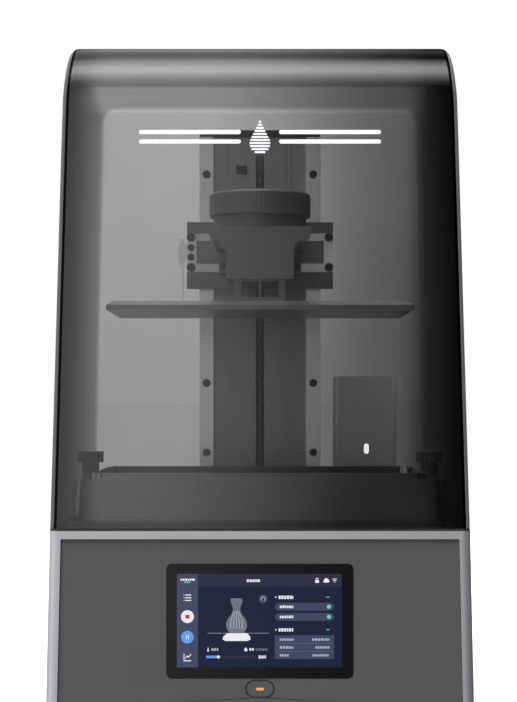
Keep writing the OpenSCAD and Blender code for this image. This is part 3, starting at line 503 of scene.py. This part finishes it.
def build_mark():
    """A printed drop made of level slices between two pairs of bars."""
    bm = bmesh.new()
    z_mid = 0.5537
    radius = 0.0098
    apex = 0.0218
    rows = 11
    bottom = z_mid - 0.0160
    pitch = (radius + apex) / rows
    lean_z = radius * radius / apex
    touch = radius * math.sqrt(1 - (radius / apex) ** 2)

    def plate(points):
        prism(bm, points, 0.0, 0.00008)

    for k in range(rows):
        rise = (k + 0.5) * pitch - radius
        if rise < lean_z:
            half = math.sqrt(max(radius * radius - rise * rise, 0.0))
        else:
            half = touch * (apex - rise) / (apex - lean_z)
        z = bottom + radius + rise
        plate(round_points(0, z, 2 * max(half, 0.0012), pitch * 0.66, 0.0007, 3))
    for side in (-1, 1):
        for z in (z_mid - 0.0045, z_mid + 0.0045):
            plate(round_points(side * 0.066, z, 0.096, 0.0040, 0.0019, 4))
    for v in bm.verts:
        v.co.y += hood_front_y(v.co.z) - 0.00018
    bmesh.ops.recalc_face_normals(bm, faces=bm.faces)
    return new_piece("hood_mark", bm, [M["ink"]], "hood")


build_mark()


# ---------------------------------------------------------------- lead screw
def build_lead_screw():
    """Four-start thread of 8 mm lead between plain journals."""
    low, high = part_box("lead_screw")
    cx = (low.x + high.x) / 2
    cy = (low.y + high.y) / 2
    r_out = (high.x - low.x) / 2
    z_low, z_high = 0.206, 0.578
    around = 32
    per_pitch = 6
    pitch = 0.002
    rows = int((z_high - z_low) / pitch * per_pitch)
    bm = bmesh.new()
    rings = []

    def ring(z, radius_at):
        rings.append([bm.verts.new((cx + radius_at(a) * math.cos(a),
                                    cy + radius_at(a) * math.sin(a), z))
                      for a in (2 * math.pi * k / around for k in range(around))])

    def thread(z):
        def radius(a):
            phase = (z / pitch - 4 * a / (2 * math.pi)) % 1.0
            wave = abs(phase - 0.5) * 2
            step = min(max((wave - 0.28) / 0.3, 0.0), 1.0)
            return r_out - 0.0009 * step
        return radius

    ring(low.z, lambda a: 0.0034)
    ring(low.z + 0.0006, lambda a: 0.004)
    ring(z_low, lambda a: 0.004)
    for k in range(rows + 1):
        ring(z_low + 0.0001 + (z_high - z_low - 0.0002) * k / rows,
             thread(z_low + k * pitch / per_pitch))
    ring(z_high, lambda a: 0.004)
    ring(high.z - 0.0006, lambda a: 0.004)
    ring(high.z, lambda a: 0.0034)
    for lower, upper in zip(rings, rings[1:]):
        for k in range(around):
            j = (k + 1) % around
            bm.faces.new((lower[k], lower[j], upper[j], upper[k]))
    bm.faces.new(rings[0][::-1])
    bm.faces.new(rings[-1])
    return new_piece("lead_screw_threaded", bm, [M["screw_steel"]], "screw", 25,
                     ("lead_screw",))


build_lead_screw()


# ---------------------------------------------------------------- locking knob
def build_knob():
    """The knob with fine grip flutes round its rim and a shallow dish on top."""
    low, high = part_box("locking_knob")
    cx = (low.x + high.x) / 2
    cy = (low.y + high.y) / 2
    r = (high.x - low.x) / 2
    z_ring = low.z
    z_rim = 0.491
    top = high.z
    hole_r = 0.005
    hole_top = 0.508
    around = 288
    profile = [
        (hole_r, hole_top, 0), (hole_r, z_ring + 0.0004, 0), (hole_r + 0.0004, z_ring, 0),
        (0.0464, z_ring, 0), (0.047, z_ring + 0.0006, 0), (0.047, z_rim, 0),
        (r - 0.0012, z_rim, 0), (r, z_rim + 0.0012, 0.2), (r, z_rim + 0.003, 1),
        (r, top - 0.0045, 1), (r, top - 0.0028, 0.2), (r - 0.0008, top - 0.0012, 0),
        (r - 0.0028, top, 0), (r - 0.010, top, 0), (r - 0.0115, top - 0.0012, 0),
        (0.012, top - 0.0012, 0), (0.011, top - 0.0004, 0), (0.004, top - 0.0004, 0),
    ]
    bm = bmesh.new()
    rings = []
    for radius, z, flute in profile:
        ring = []
        for k in range(around):
            a = 2 * math.pi * k / around
            cut = 0.00035 * flute * (0.5 - 0.5 * math.cos(a * 72))
            rr = radius - cut
            ring.append(bm.verts.new((cx + rr * math.cos(a), cy + rr * math.sin(a), z)))
        rings.append(ring)
    for lower, upper in zip(rings, rings[1:]):
        for k in range(around):
            j = (k + 1) % around
            bm.faces.new((lower[k], lower[j], upper[j], upper[k]))
    bm.faces.new(rings[0])
    bm.faces.new(rings[-1][::-1])
    bmesh.ops.recalc_face_normals(bm, faces=bm.faces)
    return new_piece("locking_knob_fluted", bm, [M["knob"]], "knob", 38,
                     ("locking_knob",))


build_knob()


# ---------------------------------------------------------------- display picture
def glow(name, color, strength=1.0, vary=0.05, scale=40.0):
    """A lit area of the display, with a little unevenness."""
    mat, tree = tree_of(name)
    co = add(tree, "ShaderNodeTexCoord").outputs["Object"]
    noise = add(tree, "ShaderNodeTexNoise",
                {"Vector": co, "Scale": scale, "Detail": 2.0}).outputs[0]
    spread = map_range(tree, noise, 0.3, 0.7, 0.0, 1.0)
    lit = mix_color(tree, spread, shade(color, 1 - vary), shade(color, 1 + vary))
    bsdf = add(tree, "ShaderNodeBsdfPrincipled",
               {"Base Color": (0.004, 0.004, 0.006, 1), "Roughness": 0.2,
                "Specular IOR Level": 0.08,
                "Emission Color": lit, "Emission Strength": strength})
    out = add(tree, "ShaderNodeOutputMaterial")
    tree.links.new(bsdf.outputs[0], out.inputs[0])
    return mat


UI_COLORS = {
    "back": (0.0125, 0.0155, 0.0400),
    "side": (0.0600, 0.0650, 0.1250),
    "bar": (0.0260, 0.0270, 0.0560),
    "pill": (0.0560, 0.0620, 0.1250),
    "white": (0.82, 0.83, 0.86),
    "soft": (0.42, 0.43, 0.50),
    "dim": (0.16, 0.165, 0.21),
    "blue": (0.130, 0.330, 0.830),
    "green": (0.11, 0.68, 0.48),
    "red": (0.62, 0.045, 0.045),
}
UI_ORDER = list(UI_COLORS)
UI = [glow("screen_" + key, UI_COLORS[key]) for key in UI_ORDER]


def build_screen():
    """The display's picture as thin lit plates in layers on the glass.

    u and v run 0..1 from its top left."""
    low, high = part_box("display_glass")
    cx = (low.x + high.x) / 2
    cz = (low.z + high.z) / 2
    y = low.y
    w, h = 0.1533, 0.0869
    cx -= 0.0006
    cz += 0.0006
    bm = bmesh.new()

    def at(u, v):
        return cx - w / 2 + u * w, cz + h / 2 - v * h

    def put(points, color, layer):
        thick = 0.00003
        prism(bm, points, y - thick * (layer + 1) * 1.6, thick, UI_ORDER.index(color))

    def rect(u0, v0, u1, v1, color, layer, r=0.0):
        x0, z0 = at(u0, v0)
        x1, z1 = at(u1, v1)
        put(round_points((x0 + x1) / 2, (z0 + z1) / 2, x1 - x0, z0 - z1, max(r, 0.00002), 4),
            color, layer)

    def disc(u, v, r, color, layer):
        x, z = at(u, v)
        put(disc_points(x, z, r), color, layer)

    def poly(points, color, layer):
        put([at(u, v) for u, v in points], color, layer)

    def ticks(u0, u1, v, color, layer, tall=0.017, seed=1):
        """A row of short strokes that stands for a line of small writing."""
        rng = random.Random(seed)
        u = u0
        while u < u1 - 0.004:
            wide = rng.uniform(0.008, 0.016)
            end = min(u + wide, u1)
            drop = rng.uniform(0.0, 0.3) * tall
            rect(u, v - tall + drop, end, v + tall, color, layer, 0.0003)
            u = end + 0.0036

    rect(0, 0, 1, 1, "back", 0)
    rect(0, 0, 0.128, 1, "side", 1)
    rect(0.128, 0, 1, 0.135, "bar", 1)
    ticks(0.022, 0.108, 0.062, "white", 2, 0.012, 3)
    ticks(0.045, 0.083, 0.089, "green", 2, 0.009, 4)
    for k in range(3):
        rect(0.052, 0.221 + k * 0.029, 0.088, 0.232 + k * 0.029, "white", 2, 0.0003)
        disc(0.044, 0.2265 + k * 0.029, 0.00045, "white", 2)
    disc(0.064, 0.458, 0.0060, "white", 2)
    rect(0.0515, 0.437, 0.0765, 0.479, "red", 3, 0.0004)
    disc(0.064, 0.677, 0.0059, "blue", 2)
    for du in (-0.0085, 0.0035):
        rect(0.064 + du, 0.655, 0.064 + du + 0.005, 0.700, "white", 3, 0.0002)
    rect(0.041, 0.852, 0.0455, 0.935, "white", 2, 0.0003)
    rect(0.041, 0.925, 0.087, 0.935, "white", 2, 0.0003)
    for a, b in (((0.051, 0.905), (0.062, 0.880)), ((0.062, 0.880), (0.070, 0.892)),
                 ((0.070, 0.892), (0.086, 0.860))):
        poly([(a[0], a[1] - 0.008), (b[0], b[1] - 0.008), (b[0], b[1] + 0.006),
              (a[0], a[1] + 0.006)], "white", 2)
    ticks(0.424, 0.505, 0.072, "white", 2, 0.016, 5)
    # lock, cloud and radio signs
    rect(0.838, 0.068, 0.862, 0.096, "white", 2, 0.0005)
    rect(0.842, 0.048, 0.846, 0.070, "white", 2, 0.0003)
    rect(0.854, 0.048, 0.858, 0.070, "white", 2, 0.0003)
    rect(0.842, 0.045, 0.858, 0.052, "white", 2, 0.0003)
    rect(0.888, 0.068, 0.924, 0.092, "white", 2, 0.0009)
    disc(0.905, 0.066, 0.0018, "white", 3)
    disc(0.914, 0.072, 0.0013, "white", 4)
    for k in range(3):
        half = 0.004 + 0.0055 * k
        rect(0.957 - half, 0.086 - k * 0.017, 0.957 + half, 0.093 - k * 0.017, "white", 2, 0.0004)
    # preview: a fluted vase on a white base
    rect(0.185, 0.633, 0.560, 0.6365, "soft", 1)
    base = [(0.277, 0.700), (0.283, 0.668), (0.302, 0.640), (0.335, 0.632), (0.405, 0.632),
            (0.430, 0.640), (0.443, 0.668), (0.447, 0.700), (0.430, 0.718), (0.295, 0.718)]
    poly(base, "white", 2)
    outline = [(0.636, 0.040), (0.600, 0.056), (0.560, 0.064), (0.515, 0.062), (0.475, 0.050),
               (0.440, 0.034), (0.405, 0.024), (0.370, 0.022), (0.335, 0.028), (0.300, 0.036),
               (0.262, 0.034)]
    left = [(0.362 - half, v) for v, half in outline]
    right = [(0.362 + half, v) for v, half in outline[::-1]]
    poly(left + right, "dim", 3)
    for k in (-2, -1, 0, 1, 2):
        du = 0.0165 * k
        poly([(0.360 + du * 1.1, 0.590), (0.364 + du * 1.1, 0.590), (0.364 + du * 1.05, 0.500),
              (0.362 + du * 0.45, 0.400), (0.359 + du * 0.45, 0.400), (0.360 + du * 1.05, 0.500)],
             "soft", 4)
    # turn sign
    disc(0.523, 0.268, 0.0041, "side", 2)
    ring = []
    for k in range(15):
        a = math.radians(-60 + 20 * k)
        ring.append((0.523 + 0.0145 * math.cos(a), 0.268 - 0.0255 * math.sin(a)))
    for k in range(14, -1, -1):
        a = math.radians(-60 + 20 * k)
        ring.append((0.523 + 0.0095 * math.cos(a), 0.268 - 0.0170 * math.sin(a)))
    poly(ring, "soft", 3)
    # temperature, amount and progress
    rect(0.187, 0.788, 0.192, 0.818, "white", 2, 0.0003)
    disc(0.1895, 0.822, 0.0009, "white", 3)
    ticks(0.209, 0.258, 0.808, "soft", 2, 0.015, 6)
    disc(0.418, 0.813, 0.0015, "white", 2)
    poly([(0.4085, 0.808), (0.418, 0.785), (0.4275, 0.808)], "white", 3)
    ticks(0.440, 0.466, 0.808, "white", 2, 0.013, 7)
    ticks(0.478, 0.553, 0.808, "dim", 2, 0.014, 8)
    rect(0.176, 0.875, 0.480, 0.902, "bar", 1, 0.0011)
    rect(0.176, 0.875, 0.262, 0.902, "blue", 2, 0.0011)
    disc(0.252, 0.8885, 0.0014, "white", 3)
    ticks(0.496, 0.540, 0.888, "white", 2, 0.018, 9)
    # right column
    for v, seed in ((0.250, 10), (0.598, 11)):
        disc(0.600, v, 0.0007, "white", 2)
        ticks(0.617, 0.706, v, "white", 2, 0.019, seed)
        rect(0.905, v - 0.006, 0.925, v + 0.006, "blue", 1, 0.0004)
    for v, seed in ((0.352, 12), (0.460, 13)):
        rect(0.595, v - 0.042, 0.952, v + 0.042, "pill", 1, 0.0036)
        ticks(0.624, 0.706, v, "white", 2, 0.015, seed)
        disc(0.922, v, 0.0019, "green", 2)
    rect(0.593, 0.658, 0.953, 0.912, "pill", 1, 0.0003)
    for k in range(3):
        v = 0.702 + 0.0845 * k
        ticks(0.624, (0.707, 0.707, 0.684)[k], v, "soft", 2, 0.014, 14 + k)
        ticks((0.820, 0.840, 0.822)[k], 0.925, v, "soft", 2, 0.013, 17 + k)
        if k < 2:
            rect(0.605, v + 0.041, 0.940, v + 0.044, "dim", 2)
    bmesh.ops.recalc_face_normals(bm, faces=bm.faces)
    return new_piece("screen_picture", bm, UI, "base")


build_screen()


# ---------------------------------------------------------------- softened edges
for node_name, width in (("support_arm", 0.0006), ("plate_bracket", 0.0006),
                         ("carriage_plate", 0.0005), ("build_plate", 0.0004),
                         ("vat_body", 0.0007), ("purifier_case", 0.0006),
                         ("guide_rails", 0.0004), ("bearing_blocks", 0.0005),
                         ("front_panel", 0.0003), ("power_inlet", 0.0005)):
    soften(node_name, width)


# ---------------------------------------------------------------- floor
FLOOR_SIDE = 4.0
FLOOR_REAR = 2.2
FLOOR_FRONT = 4.0
FLOOR_CORNER = 0.2


def build_floor():
    """A pale slab with rounded corners, reaching out of view on every side."""
    bm = bmesh.new()
    steps = 12
    points = []
    for x, y, sx, sy in ((FLOOR_SIDE, FLOOR_REAR, 1, 1), (-FLOOR_SIDE, FLOOR_REAR, -1, 1),
                         (-FLOOR_SIDE, -FLOOR_FRONT, -1, -1), (FLOOR_SIDE, -FLOOR_FRONT, 1, -1)):
        start = {(1, 1): 0, (-1, 1): 90, (-1, -1): 180, (1, -1): 270}[(sx, sy)]
        for k in range(steps + 1):
            a = math.radians(start + 90 * k / steps)
            points.append((x - sx * FLOOR_CORNER + FLOOR_CORNER * math.cos(a),
                           y - sy * FLOOR_CORNER + FLOOR_CORNER * math.sin(a)))
    top = [bm.verts.new((x, y, 0.0)) for x, y in points]
    bottom = [bm.verts.new((x, y, -0.02)) for x, y in points]
    bm.faces.new(top)
    bm.faces.new(bottom[::-1])
    n = len(top)
    for i in range(n):
        j = (i + 1) % n
        bm.faces.new((top[j], top[i], bottom[i], bottom[j]))
    mesh = bpy.data.meshes.new("floor")
    bm.to_mesh(mesh)
    bm.free()
    obj = bpy.data.objects.new("floor", mesh)
    bpy.context.scene.collection.objects.link(obj)
    mesh.materials.append(surface("pale_floor", (0.86, 0.86, 0.86), 0.6, vary=0.01, cloud=3,
                                  grain=200, bump=0.02, emission=(1, 1, 1, 1), strength=0.55))
    obj.visible_diffuse = False
    obj.visible_glossy = False


build_floor()


# ---------------------------------------------------------------- studio light
def build_world():
    """A soft studio: bright to the left, dim to the right, one long light box overhead.

    The camera sees pure white past the object, and an even pale room through the hood in
    directions away from the front view."""
    world = bpy.data.worlds.new("studio")
    bpy.context.scene.world = world
    world.use_nodes = True
    tree = world.node_tree
    tree.nodes.clear()
    ray = add(tree, "ShaderNodeTexCoord").outputs["Generated"]
    axes = add(tree, "ShaderNodeSeparateXYZ", {0: ray})
    x, y, z = (axes.outputs[k] for k in ("X", "Y", "Z"))
    side_front = map_range(tree, x, -0.12, 0.10, 1.25, 0.08, smooth=True)
    side_rear = math_node(tree, "MULTIPLY",
                          map_range(tree, x, -0.04, 0.09, 1.16, 0.34, smooth=True),
                          map_range(tree, x, 0.080, 0.097, 1.0, 0.25, smooth=True))
    behind = map_range(tree, y, -0.2, 0.2, 0.0, 1.0)
    side = math_node(tree, "ADD",
                     math_node(tree, "MULTIPLY", side_front,
                               math_node(tree, "SUBTRACT", 1.0, behind)),
                     math_node(tree, "MULTIPLY", side_rear, behind))
    far = map_range(tree, math_node(tree, "ABSOLUTE", x), 0.30, 0.60, 1.0, 0.55, smooth=True)
    side = math_node(tree, "MULTIPLY", side, far)
    angle = add(tree, "ShaderNodeMath", {0: z, 1: math_node(tree, "MULTIPLY", y, -1.0)},
                operation="ARCTAN2").outputs[0]
    turn = math_node(tree, "DIVIDE", angle, math.pi)
    degrees_up = math_node(tree, "MULTIPLY", turn, 180.0)

    def ramp(stops):
        node = add(tree, "ShaderNodeValToRGB", {0: turn})
        elements = node.color_ramp.elements
        while len(elements) < len(stops):
            elements.new(0.5)
        for element, (degrees, value) in zip(elements, stops):
            element.position = degrees / 180
            element.color = grey(value)
        return node.outputs[0]

    wall = ramp([(0, 0.50), (14, 0.50), (24, 0.34), (78, 0.3), (84, 0.08), (90, 0.1),
                 (97, 0.6), (130, 0.8), (168, 0.80), (170.3, 0.62), (180, 0.5)])
    # bands in the room behind the printer, seen through the top of the hood
    band = math_node(tree, "ADD", map_range(tree, degrees_up, 168.60, 168.75, 0.24, 0.78),
                     map_range(tree, degrees_up, 169.56, 169.66, 0.0, 0.68))
    band = math_node(tree, "SUBTRACT", band, map_range(tree, degrees_up, 170.38, 170.5, 0.0, 0.36))
    band = math_node(tree, "MAXIMUM", band, map_range(tree, degrees_up, 167.2, 167.7, 1.0, 0.0))
    wall = math_node(tree, "MULTIPLY", wall, band)
    box = ramp([(38, 0.0), (48, 0.1), (62, 0.6), (68, 1.0), (80, 1.0), (92, 0.5), (104, 0.0),
                (114, 0.0), (132, 0.12), (150, 0.0)])
    box = math_node(tree, "MULTIPLY", box,
                    map_range(tree, math_node(tree, "ABSOLUTE", x), 0.55, 0.8, 1.0, 0.0,
                              smooth=True))
    box_side = math_node(tree, "MULTIPLY", map_range(tree, x, -0.5, 0.5, 1.12, 0.82, smooth=True),
                         map_range(tree, x, 0.2, 0.6, 1.0, 0.4, smooth=True))
    strip = math_node(tree, "MULTIPLY",
                      map_range(tree, x, -0.70, -0.76, 0.0, 1.0, smooth=True),
                      map_range(tree, x, -0.90, -0.86, 0.0, 1.0, smooth=True))
    strip = math_node(tree, "MULTIPLY", strip,
                      map_range(tree, y, -0.25, -0.4, 0.0, 1.3, smooth=True))
    walls = math_node(tree, "MULTIPLY", math_node(tree, "MULTIPLY", wall, 2.0), side)
    boxes = math_node(tree, "MULTIPLY", math_node(tree, "MULTIPLY", box, 6.8), box_side)
    walls = math_node(tree, "MULTIPLY", walls, map_range(tree, z, -0.3, -0.02, 0.45, 1.0))
    total = math_node(tree, "ADD", math_node(tree, "ADD", walls, boxes), strip)
    studio = add(tree, "ShaderNodeBackground", {"Color": (0.97, 0.975, 1.0, 1),
                                                "Strength": total})
    white = add(tree, "ShaderNodeBackground", {"Color": (1, 1, 1, 1), "Strength": 1.0})
    path = add(tree, "ShaderNodeLightPath")
    clear = math_node(tree, "LESS_THAN", path.outputs["Transparent Depth"], 0.5)
    direct = math_node(tree, "MULTIPLY", path.outputs["Is Camera Ray"], clear)
    # what shows through the hood away from the front: an even pale room and floor
    pale = add(tree, "ShaderNodeBackground", {"Color": (1, 1, 1, 1), "Strength": 2.05})
    around = math_node(tree, "MAXIMUM", map_range(tree, z, -0.30, -0.085, 1.0, 0.0),
                       map_range(tree, y, 0.90, 0.965, 1.0, 0.0))
    around = math_node(tree, "MULTIPLY", path.outputs["Is Camera Ray"], around)
    room = add(tree, "ShaderNodeMixShader", {0: around, 1: studio.outputs[0], 2: pale.outputs[0]})
    both = add(tree, "ShaderNodeMixShader", {0: direct, 1: room.outputs[0], 2: white.outputs[0]})
    out = add(tree, "ShaderNodeOutputWorld")
    tree.links.new(both.outputs[0], out.inputs[0])


build_world()


CAMERA_AT = (0, -1.815, 0.303)
CAMERA_SHIFT = (-0.0021, 0.0741)
LENS_MM = 88.36
SENSOR_MM = 36


def build_camera():
    data = bpy.data.cameras.new("camera")
    data.sensor_width = SENSOR_MM
    data.lens = LENS_MM
    data.shift_x, data.shift_y = CAMERA_SHIFT
    camera = bpy.data.objects.new("camera", data)
    camera.location = CAMERA_AT
    camera.rotation_euler = (math.radians(90), 0, 0)
    bpy.context.scene.collection.objects.link(camera)
    bpy.context.scene.camera = camera


build_camera()
bpy.context.scene.view_settings.view_transform = "Standard"
